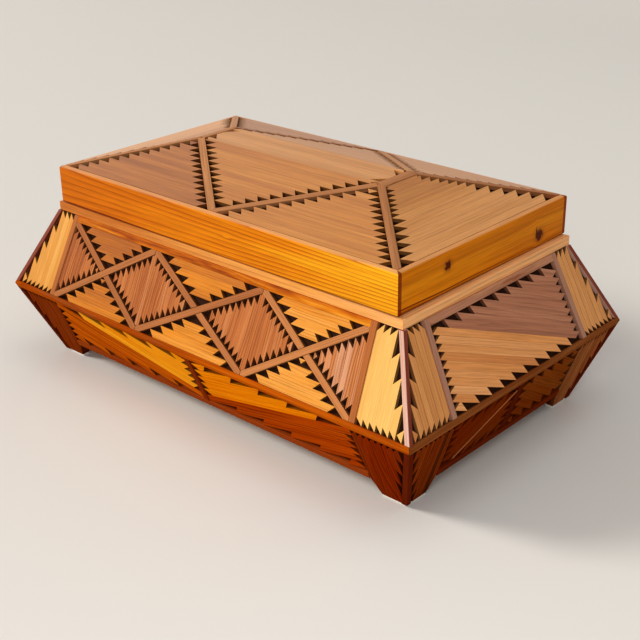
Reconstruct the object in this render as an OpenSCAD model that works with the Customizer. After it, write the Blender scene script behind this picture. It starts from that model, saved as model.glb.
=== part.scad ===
// Wooden table box: a body whose walls swell out to a belt and draw in again to four corner feet,
// and a hinged lid with a low hipped roof. Every face is covered with slats whose ends are
// mitred to a point, laid against flat strips so that dark notches stay open between them.
// Millimetres, +Z up, +X along the length, origin on the floor under the middle of the box.
// Sides are numbered 0 front (-Y), 1 right (+X), 2 back (+Y) and 3 left (-X).

/* [Body] */
// Outside length of the body at its mouth
mouth_l = 313; // [280:1:360]
// Outside width of the body at its mouth
mouth_w = 173; // [150:1:210]
// How far the upper walls lean out from the mouth to the belt
upper_run = 26.8; // [18:0.1:34]
// How far the lower long walls lean in from the belt to the feet
lower_run_long = 24.5; // [12:0.1:30]
// How far the lower end walls lean in from the belt to the feet
lower_run_end = 20.3; // [12:0.1:30]
// Height of the belt above the floor
belt_z = 57; // [50:0.5:75]
// Height from the belt to the top of the upper walls
upper_h = 55.6; // [45:0.1:75]
// Thickness of the backing boards in the walls
wall_t = 4; // [3:0.25:6]
// Thickness of the bottom board
bottom_t = 5; // [3:0.5:8]
// Height of the bottom board above the arches
bottom_lift = 2; // [0:0.5:8]
// Thickness of the flat rim frame on the walls
rim_h = 6.2; // [5:0.1:8]
// Width of the boards of the rim frame
rim_w = 10; // [9:0.5:16]

/* [Feet] */
// Height of the arches between the feet
arch_h = 12; // [6:0.5:18]
// Width of a foot along each wall, at the floor
foot_w = 18.5; // [14:0.5:26]
// How much wider a foot is at the top of the arch
foot_spread = 4.5; // [0:0.1:8]
// Width of a corner leg along each wall, at the belt
leg_w = 45; // [36:0.5:52]
// Thickness of the felt pad under each foot
pad_t = 1.2; // [0.5:0.1:2]
// Width of the felt along the two edges of a foot
pad_w = 5.5; // [4:0.5:6.5]

/* [Lid] */
// Ledge of the rim frame that stays free at each end of the lid
end_ledge = 4; // [0:0.5:8]
// Height of the rim boards of the lid
lid_rim_h = 26; // [18:0.5:40]
// Thickness of the rim boards of the lid
lid_rim_t = 6; // [6:0.25:9]
// Width of the top edge of the rim boards that the roof slats leave free
roof_lip = 3.5; // [2.5:0.1:4.5]
// How far the roof slopes reach in from the outside of the lid
roof_run = 71; // [55:0.5:73]
// Rise of the roof above the rim boards
roof_rise = 18.6; // [10:0.2:30]
// Thickness of the backing boards of the roof
roof_t = 4; // [3:0.25:6]
// Rounding of the long outer edges of the lid
lid_ease = 1.2; // [0.4:0.1:2.5]
// Gap between the closed lid and the rim frame
lid_gap = 0.4; // [0.3:0.05:0.8]

/* [Strips] */
// How far the strips stand out from the slats
strip_proud = 0.7; // [0.3:0.1:1.5]
// How far the strips of the roof stand out from its slats
roof_proud = 0.35; // [0.2:0.05:1.5]
// Width of the strips of the lattice on the long walls
lattice_strip_w = 4.5; // [3:0.1:7]
// Width of the posts beside the corner fields
post_w = 4.4; // [3:0.1:7]
// Distance from the corner to the middle of a post, at the mouth
post_in_top = 20; // [17:0.5:26]
// Distance from the corner to the middle of a post, at the belt
post_in_belt = 42.5; // [36:0.5:50]
// Width of the strip under the rim frame on the long walls
top_strip_long_w = 4.6; // [3:0.1:8]
// Width of the strip under the rim frame on the end walls
top_strip_end_w = 4.9; // [3:0.1:9]
// Width of the upper corner strips on each of their two faces
upper_corner_w = 2.6; // [2.5:0.1:6]
// Width of the lower corner strips on each of their two faces
lower_corner_w = 3.2; // [2.5:0.1:6]
// Height of the belt strip on the upper walls
belt_up = 2.2; // [1.6:0.1:6]
// Height of the belt strip on the lower walls
belt_down = 3; // [2:0.1:7]
// Width of the middle strip on the lower walls
middle_strip_w = 4.6; // [3:0.1:7]
// Width of the rail along the arches
rail_w = 4.8; // [2.5:0.1:7]
// Width of the hip strips on each of their two slopes
hip_strip_w = 2.5; // [2:0.1:4.5]
// Width of the crown strips on the crown and on the slope beside it
crown_strip_w = 3.6; // [2:0.1:5]
// Width of the diagonal strips on the roof
roof_strip_w = 4.9; // [3:0.1:8]
// Width of the middle cell of the lattice
mid_cell_w = 100; // [80:1:115]

/* [Slats] */
// Thickness of the slats
slat_t = 2.5; // [1.5:0.1:4]
// Slat width in the diamonds of the long walls
diamond_slat_w = 4.4; // [3.5:0.1:8]
// Slat width in the triangles of the long walls
triangle_slat_w = 4.7; // [3.5:0.1:8]
// Slat width in the middle fields of the end walls
end_slat_w = 4.8; // [4:0.1:8]
// Slat width in the corner fields
corner_slat_w = 4.8; // [3.5:0.1:8]
// Slat width on the legs
leg_slat_w = 4.4; // [3.5:0.1:8]
// Slat width in the fields of the lower walls
lower_slat_w = 5.9; // [4:0.1:9]
// Slat width on the long slopes of the roof
roof_slat_w = 5.2; // [4:0.1:9]
// Width of the wide slats low on the end slopes, and their number
end_slope_wide_w = 6.5; // [4:0.1:9]
end_slope_wide_n = 6; // [0:1:8]
// Width of the narrow slats high on the end slopes
end_slope_narrow_w = 4.2; // [3:0.1:9]
// Width of the middle slat of the flat crown
crown_middle_w = 7.2; // [5:0.1:12]
// Width of the other slats of the crown
crown_slat_w = 8.4; // [5:0.1:14]
// Angle between the pointed cut and the length of a slat
point_angle = 45; // [35:1:60]
// Glue line between two slats
glue_line = 0.14; // [0.1:0.01:0.3]

/* [Hinges] */
// Distance from the middle of the box to each hinge
hinge_x = 80; // [50:1:110]
// Length of a hinge
hinge_l = 30; // [20:1:44]
// Width of a hinge leaf let into the wood
leaf_w = 5.2; // [4.6:0.1:5.6]
// Thickness of a hinge leaf
leaf_t = 0.9; // [0.7:0.05:1.2]
// Outer radius of the hinge knuckles
knuckle_r = 1.9; // [1.7:0.05:2.4]
// Radius of the hinge pin
pin_r = 0.9; // [0.7:0.05:1.1]
// Shank radius of the hinge screws
screw_r = 0.8; // [0.6:0.05:0.9]
// Head radius of the hinge screws
screw_head_r = 1.5; // [1.3:0.05:1.8]
// Length of the screws in the rim frame
rim_screw_l = 4; // [2.4:0.1:4.4]
// Length of the screws in the lid
lid_screw_l = 7; // [5:0.5:12]

/* [Hidden] */
$fn = 48;

// Play left between a slat and the strip that it points at
fit = 0.1;
// Play between the hinge pin and its knuckles, and between neighbouring knuckles
pin_play = 0.05;
knuckle_gap = 0.2;
// Play between the knuckles and the wood behind them
knuckle_play = 0.25;
// Play round a hinge screw in the wood and in the leaf, and past its tip
screw_play = 0.05;
screw_tip = 0.2;
// Distance from the end of a hinge leaf to its outer screws
screw_in = 4;
// Thickness and overhang of the two caps on a hinge pin
cap_t = 0.6;
cap_over = 0.4;
// How far the felt pads stay inside the edges of the feet
pad_inset = 0.4;
// Ends whose two corners differ by less than this share of the width count as square
square_share = 0.36;
// Rest of a slat at the edge of a field that is too narrow to be laid, as a share of its width
least_share = 0.2;
// More slats than any field takes
many = 60;
// Straight pieces of a rounded edge
ease_steps = 4;
// How far a cutter reaches past the wood, a length beyond the box, and one too small to see
cut_over = 1;
far = 600;
eps = 0.0001;

ma = mouth_l / 2;
mb = mouth_w / 2;
ba = ma + upper_run;
bb = mb + upper_run;
ga = ba - lower_run_end;
gb = bb - lower_run_long;
mouth_z = belt_z + upper_h;
rim_z = mouth_z + rim_h;
lower_h = belt_z - pad_t;
upper_len = norm([upper_run, upper_h]);
upper_angle = atan2(upper_h, upper_run);
skin_t = slat_t + wall_t;

lid_z = rim_z + lid_gap;
la = ma - end_ledge;
lb = mb;
lid_top_z = lid_z + lid_rim_h;
ca = la - roof_run;
cb = lb - roof_run;
crown_z = lid_top_z + roof_rise;
roof_len = norm([roof_run, roof_rise]);
roof_angle = atan2(roof_rise, roof_run);
roof_foot = roof_lip / cos(roof_angle);

top_long_v = upper_len - top_strip_long_w;
top_end_v = upper_len - top_strip_end_w;

hinge_y = -(mb + knuckle_play + knuckle_r);
hinge_z = rim_z + lid_gap / 2;
knuckles = 5;

// Half length and half depth of a ring of boards, seen from one of its sides
function side_half(k, a, b) = k % 2 == 0 ? a : b;
function side_depth(k, a, b) = k % 2 == 0 ? b : a;

// Lean of the lower wall on side k, and heights measured up its face
function lower_run(k) = side_depth(k, lower_run_end, lower_run_long);
function lower_len(k) = norm([lower_run(k), lower_h]);
function lower_angle(k) = atan2(lower_h, -lower_run(k));
function arch_v(k) = arch_h / sin(lower_angle(k));
function rail_v(k) = arch_v(k) + rail_w;
function belt_v(k) = lower_len(k) - belt_down;

function unit(v) = v / norm(v);
function left(d) = [-d.y, d.x];

// A half plane is [nx, ny, least distance, depth of the points that end there: 1 full, 0 plain]
function left_of(p, q, gap = 0, point = 1) =
    let (n = left(unit(q - p))) [n.x, n.y, n * p + gap, point];
function above(v, point = 1) = [0, 1, v, point];
function below(v, point = 1) = [0, -1, -v, point];
function from_x(u, point = 1) = [1, 0, u, point];
function to_x(u, point = 1) = [-1, 0, -u, point];
function flip(h) = [-h.x, h.y, h.z, h[3]];
function plain(field) = [for (h = field) [h.x, h.y, h.z, 0]];

// Seen along d, a field starts and ends at lines [s at t = 0, slope, depth of point]
function end_lines(field, d, way) = [for (h = field) let (g = d * [h.x, h.y])
    if (g * way > eps) [h.z / g, -(left(d) * [h.x, h.y]) / g, h[3]]];
function end_at(line, t) = line[0] + line[1] * t;
function end_limit(lines, t, way) = way > 0
    ? max([for (line = lines) end_at(line, t)]) : min([for (line = lines) end_at(line, t)]);
function end_line(lines, t, way) = [for (line = lines)
    if (abs(end_at(line, t) - end_limit(lines, t, way)) < eps) line][0];
function side_limit(field, d, way) = let (t = [for (h = field) let (g = left(d) * [h.x, h.y])
        if (abs(d * [h.x, h.y]) <= eps && g * way > 0) h.z / g])
    len(t) == 0 ? -way * far : way > 0 ? max(t) : min(t);

// One end of a band that runs along d between t = a and t = b: [s at a, s at b, extra corner].
// The corner that meets the edge of the field first keeps touching it and the other one is cut
// back to a point. Where the band runs into a corner of the field, it fills that corner.
function band_end(lines, a, b, way, lead) = let (
        line_a = end_line(lines, a, way), line_b = end_line(lines, b, way),
        sa = end_at(line_a, a), sb = end_at(line_b, b),
        t = line_a[1] == line_b[1] ? a : (line_a[0] - line_b[0]) / (line_b[1] - line_a[1]),
        s = end_at(line_a, t),
        fills = t > a && t < b && (way > 0 ? s < min(sa, sb) : s > max(sa, sb)),
        square_end = lead != 0 && abs(sa - sb) < square_share * (b - a),
        at_a = square_end ? lead < 0 : way * (sa - sb) > 0,
        cut = way * (b - a) / tan(point_angle) * (at_a ? line_a[2] : line_b[2]))
    fills ? [sa, sb, [[s, t]]]
        : cut == 0 ? [sa, sb, []]
        : at_a ? [sa, sa + cut, []] : [sb + cut, sb, []];

// Outline of the band of a field between t = a and t = b, as points of the field
function band(field, d, a, b, lead = 0) = let (
        near = band_end(end_lines(field, d, 1), a, b, 1, lead),
        away = band_end(end_lines(field, d, -1), a, b, -1, lead),
        run_a = away[0] - near[0], run_b = away[1] - near[1],
        share = run_a == run_b ? 0 : run_a / (run_a - run_b),
        tip = [near[0] + (near[1] - near[0]) * share, a + (b - a) * share],
        pts = run_a > eps && run_b > eps ? concat([[away[0], a]], away[2], [[away[1], b]],
                [[near[1], b]], near[2], [[near[0], a]])
            : run_a > b - a ? [[near[0], a], [away[0], a], tip]
            : run_b > b - a ? [[away[1], b], [near[1], b], tip]
            : [])
    [for (p = pts) p[0] * d + p[1] * left(d)];

// Stands an outline on the backing board, with its face at height h over the slats
module lay(outline, h) {
    if (len(outline) > 2)
        translate([0, 0, -slat_t]) linear_extrude(slat_t + h) polygon(outline);
}

// Slats of width w that fill a field side by side from the line t = t0, from which k counts
module slats(field, d, w, t0, k_from = -many, k_to = many, lead = 0) {
    low = side_limit(field, d, 1);
    high = side_limit(field, d, -1);
    for (k = [k_from : k_to]) {
        a = max(t0 + k * w, low) + glue_line / 2;
        b = min(t0 + (k + 1) * w, high) - glue_line / 2;
        if (b - a > least_share * w)
            lay(band(field, d, a, b, lead), 0);
    }
}

// A flat strip of width w along the line from p to q, ending at the edges of its field
module strip(field, p, q, w, proud = strip_proud) {
    d = unit(q - p);
    t = left(d) * p;
    lay(band(plain(field), d, t - w / 2, t + w / 2), proud);
}

// Puts children on a wall or a roof slope: x along it, y up it, z out of it
module upper_face(k) {
    rotate([0, 0, 90 * k]) translate([0, -side_depth(k, ba, bb), belt_z])
        rotate([upper_angle, 0, 0]) children();
}
module lower_face(k) {
    rotate([0, 0, 90 * k]) translate([0, -side_depth(k, ga, gb), pad_t])
        rotate([lower_angle(k), 0, 0]) children();
}
module roof_face(k) {
    rotate([0, 0, 90 * k]) translate([0, -side_depth(k, la, lb), lid_top_z])
        rotate([roof_angle, 0, 0]) children();
}
module both_halves() {
    for (m = [0, 1]) mirror([m, 0, 0]) children();
}
module four_corners() {
    for (mx = [0, 1], my = [0, 1]) mirror([mx, 0, 0]) mirror([0, my, 0]) children();
}
module slab(z0, z1) {
    translate([-far / 2, -far / 2, z0]) cube([far, far, z1 - z0]);
}

// A board along one side of a ring, drawn as its section in (inward, z) and mitred at its ends,
// which stay back by gap along the board. The mitre runs inward along the plan direction way.
module ring_board(k, a, b, section, reach, gap = 0, way = [1, 1]) {
    half = side_half(k, a, b) - gap;
    depth = side_depth(k, a, b);
    rotate([0, 0, 90 * k]) intersection() {
        translate([-far / 2, -depth, 0]) rotate([90, 0, 90]) linear_extrude(far) polygon(section);
        linear_extrude(far) polygon([for (p = [[-1, -1], [1, -1], [1, 1], [-1, 1]])
            [p.x * (half - p.y * reach * way.x), p.y * reach * way.y - depth]]);
    }
}

// Where two outlines meet that stand h over faces with the normals n1 and n2
function fold(n1, n2, h) = h * (n1 + n2) / (1 + n1 * n2);

// A strip folded over the edge from p to q between two faces with normals n1 and n2
module edge_strip(p, q, n1, n2, w, proud, longer = 0) {
    e = unit(q - p);
    a1 = cross(e, n1) * sign(-(cross(e, n1) * n2));
    a2 = cross(e, n2) * sign(-(cross(e, n2) * n1));
    z = cross(a1, n1);
    start = (z * e > 0 ? p : q) - z * longer;
    pts = [w * a1 + proud * n1, fold(n1, n2, proud), w * a2 + proud * n2,
        w * a2 - slat_t * n2, fold(n1, n2, -slat_t), w * a1 - slat_t * n1];
    multmatrix([[a1.x, n1.x, z.x, start.x], [a1.y, n1.y, z.y, start.y],
            [a1.z, n1.z, z.z, start.z], [0, 0, 0, 1]])
        linear_extrude(norm(q - p) + 2 * longer) polygon([for (v = pts) [v * a1, v * n1]]);
}
function slope_normal(angle, to_right) =
    to_right ? [sin(angle), 0, cos(angle)] : [0, sin(angle), cos(angle)];

// Inward distance at height z of a plane t below the slats of the upper or lower walls
function upper_in(z, t) = (z - belt_z) * upper_run / upper_h + t / sin(upper_angle);
function lower_in(k, z, t) = (belt_z - z) * lower_run(k) / lower_h + t / sin(lower_angle(k));
upper_up = [cos(upper_angle), sin(upper_angle)];
upper_out = [-sin(upper_angle), cos(upper_angle)];
function lower_up(k) = [cos(lower_angle(k)), sin(lower_angle(k))];
function lower_out(k) = [-sin(lower_angle(k)), cos(lower_angle(k))];
belt = [0, belt_z];
// Where the backing boards of a side would meet behind the belt. The lower boards all end at the
// lowest of these heights and the upper ones all start at the highest.
function joint_z(k) = (belt + fold(upper_out, lower_out(k), -slat_t)).y;
lower_top_z = min(joint_z(0), joint_z(1));
upper_foot_z = max(joint_z(0), joint_z(1));
wall_reach = upper_run + max(lower_run_long, lower_run_end) + skin_t;

// Feet and bottom

module foot_pads() {
    color("#f2ede4") four_corners() translate([ga - pad_inset, gb - pad_inset, 0])
        linear_extrude(pad_t) polygon([[0, 0], [pad_inset - foot_w, 0], [pad_inset - foot_w, -pad_w],
            [-pad_w, -pad_w], [-pad_w, pad_inset - foot_w], [0, pad_inset - foot_w]]);
}

module bottom_board() {
    z0 = pad_t + arch_h + bottom_lift;
    color("#b98a5a") intersection() {
        bottom_bevel(0, z0, z0 + bottom_t);
        bottom_bevel(1, z0, z0 + bottom_t);
    }
}
// Endless board between the heights z0 and z1 that fits between the lower walls k and k + 2
module bottom_bevel(k, z0, z1) {
    half0 = side_depth(k, ba, bb) - lower_in(k, z0, skin_t);
    half1 = side_depth(k, ba, bb) - lower_in(k, z1, skin_t);
    rotate([0, 0, 90 * k]) translate([-far / 2, 0, 0]) rotate([90, 0, 90])
        linear_extrude(far) polygon([[-half0, z0], [half0, z0], [half1, z1], [-half1, z1]]);
}

// Inner edge of the right leg of a wall at height v, and the corners of the arch beside it
function leg_foot(k) = [side_half(k, ga, gb) - foot_w - foot_spread, 0];
function leg_head(k) = [side_half(k, ba, bb) - leg_w, belt_v(k)];
function leg_at(k, v) = leg_foot(k) + (leg_head(k) - leg_foot(k)) * v / belt_v(k);
function arch_foot(k) = leg_foot(k) + [foot_spread, 0];
function arch_head(k) = leg_at(k, arch_v(k));

// Backing board of a lower wall, cut out to an arch between the feet. The mitres follow the corner
// between the outer faces of the boards, because the two walls lean in at different angles.
module lower_wall(k) {
    section = [[lower_in(k, pad_t, 0), pad_t], [lower_in(k, pad_t, wall_t), pad_t],
        [lower_in(k, lower_top_z, wall_t), lower_top_z], [lower_in(k, lower_top_z, 0), lower_top_z]];
    arch = [2 * arch_foot(k) - arch_head(k), arch_head(k)];
    color("#7a3a1c") difference() {
        ring_board(k, ba - slat_t / sin(lower_angle(1)), bb - slat_t / sin(lower_angle(0)), section,
            wall_reach, 0, [lower_run(k + 1) / lower_run(k), 1]);
        lower_face(k) translate([0, 0, -far / 4]) linear_extrude(far / 2)
            polygon(concat(arch, [for (p = [arch[1], arch[0]]) [-p.x, p.y]]));
    }
}

// Backing board of an upper wall
module upper_wall(k) {
    section = [[upper_in(upper_foot_z, slat_t), upper_foot_z], [upper_in(upper_foot_z, skin_t), upper_foot_z],
        [upper_in(mouth_z, skin_t), mouth_z], [upper_in(mouth_z, slat_t), mouth_z]];
    color("#8a5a34") ring_board(k, ba, bb, section, wall_reach);
}

// Flat board of the rim frame; the back one is let in for the hinges
module rim_board(k) {
    color("#d98f5a") difference() {
        ring_board(k, ma, mb, [[0, mouth_z], [rim_w, mouth_z], [rim_w, rim_z], [0, rim_z]], 2 * rim_w);
        if (k == 2) {
            leaf_seats();
            screw_places() screw_hole(rim_screw_l);
        }
    }
}

// Strips of the body

function belt_section(k) = [belt + belt_up * upper_up + strip_proud * upper_out,
    belt + fold(upper_out, lower_out(k), strip_proud),
    belt - belt_down * lower_up(k) + strip_proud * lower_out(k),
    belt - belt_down * lower_up(k) - slat_t * lower_out(k),
    belt + fold(upper_out, lower_out(k), -slat_t),
    belt + belt_up * upper_up - slat_t * upper_out];
module belt_strips() {
    color("#b4521e") for (k = [0 : 3]) ring_board(k, ba, bb, belt_section(k), wall_reach, glue_line);
}

module upper_corner_strips() {
    color("#d9a184") intersection() {
        four_corners() edge_strip([ba, bb, belt_z], [ma, mb, mouth_z],
            slope_normal(upper_angle, true), slope_normal(upper_angle, false),
            upper_corner_w, strip_proud, upper_corner_w);
        slab(belt_section(0)[0].y, mouth_z);
    }
}

module lower_corner_strips() {
    color("#8a3f1e") intersection() {
        four_corners() edge_strip([ga, gb, pad_t], [ba, bb, belt_z],
            slope_normal(lower_angle(1), true), slope_normal(lower_angle(0), false),
            lower_corner_w, strip_proud, lower_corner_w);
        slab(pad_t, min(belt_section(0)[2].y, belt_section(1)[2].y));
    }
}

// Middle line of the right post of an upper wall, and the half plane on its inner side
function post_foot(k) = [side_half(k, ba, bb) - post_in_belt, 0];
function post_head(k) = [side_half(k, ma, mb) - post_in_top, upper_len];
function in_post(k, gap) = left_of(post_foot(k), post_head(k), post_w / 2 + gap);
function post_edge(k, v) = let (h = in_post(k, 0)) (h.z - h.y * v) / h.x;

module post_strips() {
    color("#bf7d52") intersection() {
        for (k = [0 : 3]) upper_face(k) both_halves()
            strip([above(belt_up), below(upper_len + slat_t)], post_foot(k), post_head(k), post_w);
        slab(0, mouth_z);
    }
}

module top_strips() {
    color("#a9684a") intersection() {
        for (k = [0 : 3]) upper_face(k) {
            v = side_half(k, top_long_v, top_end_v);
            lay(band(plain([in_post(k, 0), flip(in_post(k, 0))]), [1, 0], v, upper_len + slat_t),
                strip_proud);
        }
        slab(0, mouth_z);
    }
}

// The lattice of a long wall has three cells, each crossed by two strips. Cell i lies between the
// uprights i and i + 1, of which 0 and 3 are the posts.
function lattice_x(i, v) = i == 0 ? -post_edge(0, v) : i == 3 ? post_edge(0, v) : (i - 1.5) * mid_cell_w;
function low_node(i) = [lattice_x(i, belt_up), belt_up];
function high_node(i) = [lattice_x(i, top_long_v), top_long_v];
function cell(i) = [above(belt_up), below(top_long_v),
    i == 0 ? flip(in_post(0, 0)) : from_x(lattice_x(i, 0) + glue_line / 2),
    i == 2 ? in_post(0, 0) : to_x(lattice_x(i + 1, 0) - glue_line / 2)];
// Half planes over and under the rising and the falling strip of a cell
lattice_gap = lattice_strip_w / 2 + fit;
function over_rising(i, gap = lattice_gap) = left_of(low_node(i), high_node(i + 1), gap);
function under_rising(i, gap = lattice_gap) = left_of(high_node(i + 1), low_node(i), gap);
function over_falling(i, gap = lattice_gap) = left_of(high_node(i), low_node(i + 1), gap);
function under_falling(i, gap = lattice_gap) = left_of(low_node(i + 1), high_node(i), gap);

module lattice_strips(k) {
    gap = lattice_strip_w / 2 + glue_line;
    color("#c08258") upper_face(k) for (i = [0 : 2]) {
        strip(cell(i), low_node(i), high_node(i + 1), lattice_strip_w);
        for (side = [over_rising(i, gap), under_rising(i, gap)])
            strip(concat(cell(i), [side]), high_node(i), low_node(i + 1), lattice_strip_w);
    }
}

module middle_strips() {
    color("#6e2c14") for (k = [0 : 3]) lower_face(k)
        strip([above(rail_v(k)), below(belt_v(k))], [0, rail_v(k)], [0, belt_v(k)], middle_strip_w);
}

module bottom_rails() {
    color("#9a4a22") for (k = [0 : 3]) lower_face(k) {
        side = left_of(leg_foot(k), leg_head(k));
        lay(band(plain([side, flip(side)]), [1, 0], arch_v(k), rail_v(k)), strip_proud);
    }
}

// Slats of the body

module diamond_slats(k) {
    color("#a8673f") upper_face(k) {
        for (i = [1, 2])
            slats([under_rising(i - 1), over_falling(i - 1), under_falling(i), over_rising(i)],
                [0, 1], diamond_slat_w, -lattice_x(i, 0) - diamond_slat_w / 2);
        both_halves() {
            d = unit(post_head(0) - post_foot(0));
            slats([in_post(0, fit), over_falling(2), under_rising(2)], d, diamond_slat_w,
                left(d) * post_foot(0) + post_w / 2 + fit);
        }
    }
}

module triangle_slats(k) {
    color("#e59a48") upper_face(k) for (i = [0 : 2]) {
        slats([below(top_long_v - fit), over_falling(i), over_rising(i)], [1, 0], triangle_slat_w,
            top_long_v - fit, -many, -1);
        slats([above(belt_up + fit), under_falling(i), under_rising(i)], [1, 0], triangle_slat_w,
            belt_up + fit, 0, many);
    }
}

// Half plane inside the right corner strip of a face that narrows by run over its length
function in_corner(half, run, length, w) = left_of([half, 0], [half - run, length], w + fit);

module corner_slats(k) {
    d = unit(post_head(k) - post_foot(k));
    t0 = left(d) * post_foot(k) - post_w / 2 - fit;
    field = [above(belt_up + fit), below(upper_len - fit),
        left_of(post_head(k), post_foot(k), post_w / 2 + fit),
        in_corner(side_half(k, ba, bb), upper_run, upper_len, upper_corner_w)];
    upper_face(k) both_halves() slats(field, d, corner_slat_w, t0, -many, -1, -1);
}
module corner_slats_long() {
    color("#f0b060") for (k = [0, 2]) corner_slats(k);
}
module corner_slats_end() {
    color("#d8a066") for (k = [1, 3]) corner_slats(k);
}

// The slats of an end field run from its upper left to its lower right corner, in two colours
module end_field_slats(k_from, k_to) {
    p = [-post_edge(1, top_end_v), top_end_v];
    q = [post_edge(1, belt_up), belt_up];
    d = unit(q - p);
    field = [above(belt_up + fit), below(top_end_v - fit), in_post(1, fit), flip(in_post(1, fit))];
    for (k = [1, 3]) upper_face(k) slats(field, d, end_slat_w, left(d) * p, k_from, k_to);
}
module end_field_upper_slats() {
    color("#9a6348") end_field_slats(0, many);
}
module end_field_lower_slats() {
    color("#c98a50") end_field_slats(-many, -1);
}

module leg_slats() {
    color("#8a3b1a") intersection() {
        for (k = [0 : 3]) {
            d = unit(leg_head(k) - leg_foot(k));
            field = [above(-slat_t, 0), left_of(arch_head(k), arch_foot(k), 0, 0),
                below(belt_v(k) - fit), left_of(leg_head(k), leg_foot(k), fit),
                in_corner(side_half(k, ga, gb), -lower_run(k + 1), lower_len(k), lower_corner_w)];
            lower_face(k) both_halves()
                slats(field, d, leg_slat_w, left(d) * leg_foot(k) - fit, -many, -1, -1);
        }
        slab(pad_t, belt_z);
    }
}

// The slats beside the middle strip slope down to it on the long walls and away from it on the
// end walls; those over the diagonal of the field are brighter than those under it
module lower_slats(k, k_from, k_to) {
    inner = middle_strip_w / 2;
    p = [inner, k % 2 == 0 ? rail_v(k) + lower_slat_w : belt_v(k)];
    q = leg_at(k, k % 2 == 0 ? belt_v(k) : rail_v(k));
    d = unit(q - p);
    field = [above(rail_v(k) + fit), below(belt_v(k) - fit), from_x(inner + fit),
        left_of(leg_foot(k), leg_head(k), fit)];
    lower_face(k) both_halves() slats(field, d, lower_slat_w, left(d) * p, k_from, k_to);
}
module lower_long_bright_slats() {
    color("#f08c10") for (k = [0, 2]) lower_slats(k, 0, many);
}
module lower_long_dark_slats() {
    color("#a03c10") for (k = [0, 2]) lower_slats(k, -many, -1);
}
module lower_end_bright_slats() {
    color("#b0541e") for (k = [1, 3]) lower_slats(k, 0, many);
}
module lower_end_dark_slats() {
    color("#7a2e10") for (k = [1, 3]) lower_slats(k, -many, -1);
}

// Lid

// Corner p between the directions a and b, rounded to radius r
function rounded(p, a, b, r) = let (
        half = acos(a * b) / 2,
        c = p + unit(a + b) * r / sin(half),
        v1 = p + a * r / tan(half) - c,
        v2 = p + b * r / tan(half) - c,
        turn = atan2(v1.x * v2.y - v1.y * v2.x, v1 * v2))
    [for (i = [0 : ease_steps]) let (w = turn * i / ease_steps)
        c + [v1.x * cos(w) - v1.y * sin(w), v1.x * sin(w) + v1.y * cos(w)]];

// Height of a plane t below the slats of a roof slope, at the inward distance x
function roof_z(x, t) = lid_top_z + x * tan(roof_angle) - t / cos(roof_angle);

// Rim board with its outer edges eased and its upper edge bevelled to the slope of the roof, with
// a rebate in which the slats end
module lid_rim(k) {
    slope = [cos(roof_angle), sin(roof_angle)];
    section = concat(rounded([0, lid_z], [1, 0], [0, 1], lid_ease),
        rounded([0, lid_top_z], [0, -1], slope, lid_ease),
        [[roof_lip, roof_z(roof_lip, 0)], [roof_lip, roof_z(roof_lip, slat_t)],
            [lid_rim_t, roof_z(lid_rim_t, slat_t)], [lid_rim_t, lid_z]]);
    color("#e8931c") difference() {
        ring_board(k, la, lb, section, 2 * lid_rim_t);
        if (k == 2) over_hinge() {
            leaf_seats();
            screw_places() screw_hole(lid_screw_l);
        }
    }
}

module roof_board(k) {
    roof_skin = slat_t + roof_t;
    section = [[lid_rim_t, roof_z(lid_rim_t, slat_t)], [lid_rim_t, roof_z(lid_rim_t, roof_skin)],
        [roof_run, roof_z(roof_run, roof_skin)], [roof_run, roof_z(roof_run, slat_t)]];
    color("#8a5a34") ring_board(k, la, lb, section, roof_run + cut_over);
}
module roof_board_crown() {
    color("#8a5a34") translate([-ca, -cb, crown_z - slat_t - roof_t]) cube([2 * ca, 2 * cb, roof_t]);
}

// Keeps what lies on the slopes, between the rim boards and the two long edges of the crown
module roof_trim() {
    intersection() {
        children();
        for (k = [0, 2]) rotate([0, 0, 90 * k]) translate([roof_lip - la, cb, 0])
            cube([2 * (la - roof_lip), lb - roof_lip - cb, far]);
    }
}

module hip_strips() {
    color("#c98c60") roof_trim() four_corners() edge_strip([la, lb, lid_top_z], [ca, cb, crown_z],
        slope_normal(roof_angle, true), slope_normal(roof_angle, false), hip_strip_w, roof_proud);
}
module crown_strips() {
    color("#c98c60") for (m = [0, 1]) mirror([m, 0, 0])
        edge_strip([ca, -cb, crown_z], [ca, cb, crown_z],
            slope_normal(roof_angle, true), [0, 0, 1], crown_strip_w, roof_proud);
}

// Two strips on each long slope rise from the middle of its foot to the corners of the crown
diagonal_foot = [0, roof_foot];
diagonal_head = [ca, roof_len];
function in_hip(half, gap) = left_of([half, 0], [half - roof_run, roof_len], hip_strip_w + gap);
module roof_diagonal_strips() {
    field = [above(roof_foot), below(roof_len + slat_t), from_x(glue_line / 2), in_hip(la, 0)];
    color("#c98c60") roof_trim() for (k = [0, 2]) roof_face(k) both_halves()
        strip(field, diagonal_foot, diagonal_head, roof_strip_w, roof_proud);
}

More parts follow.
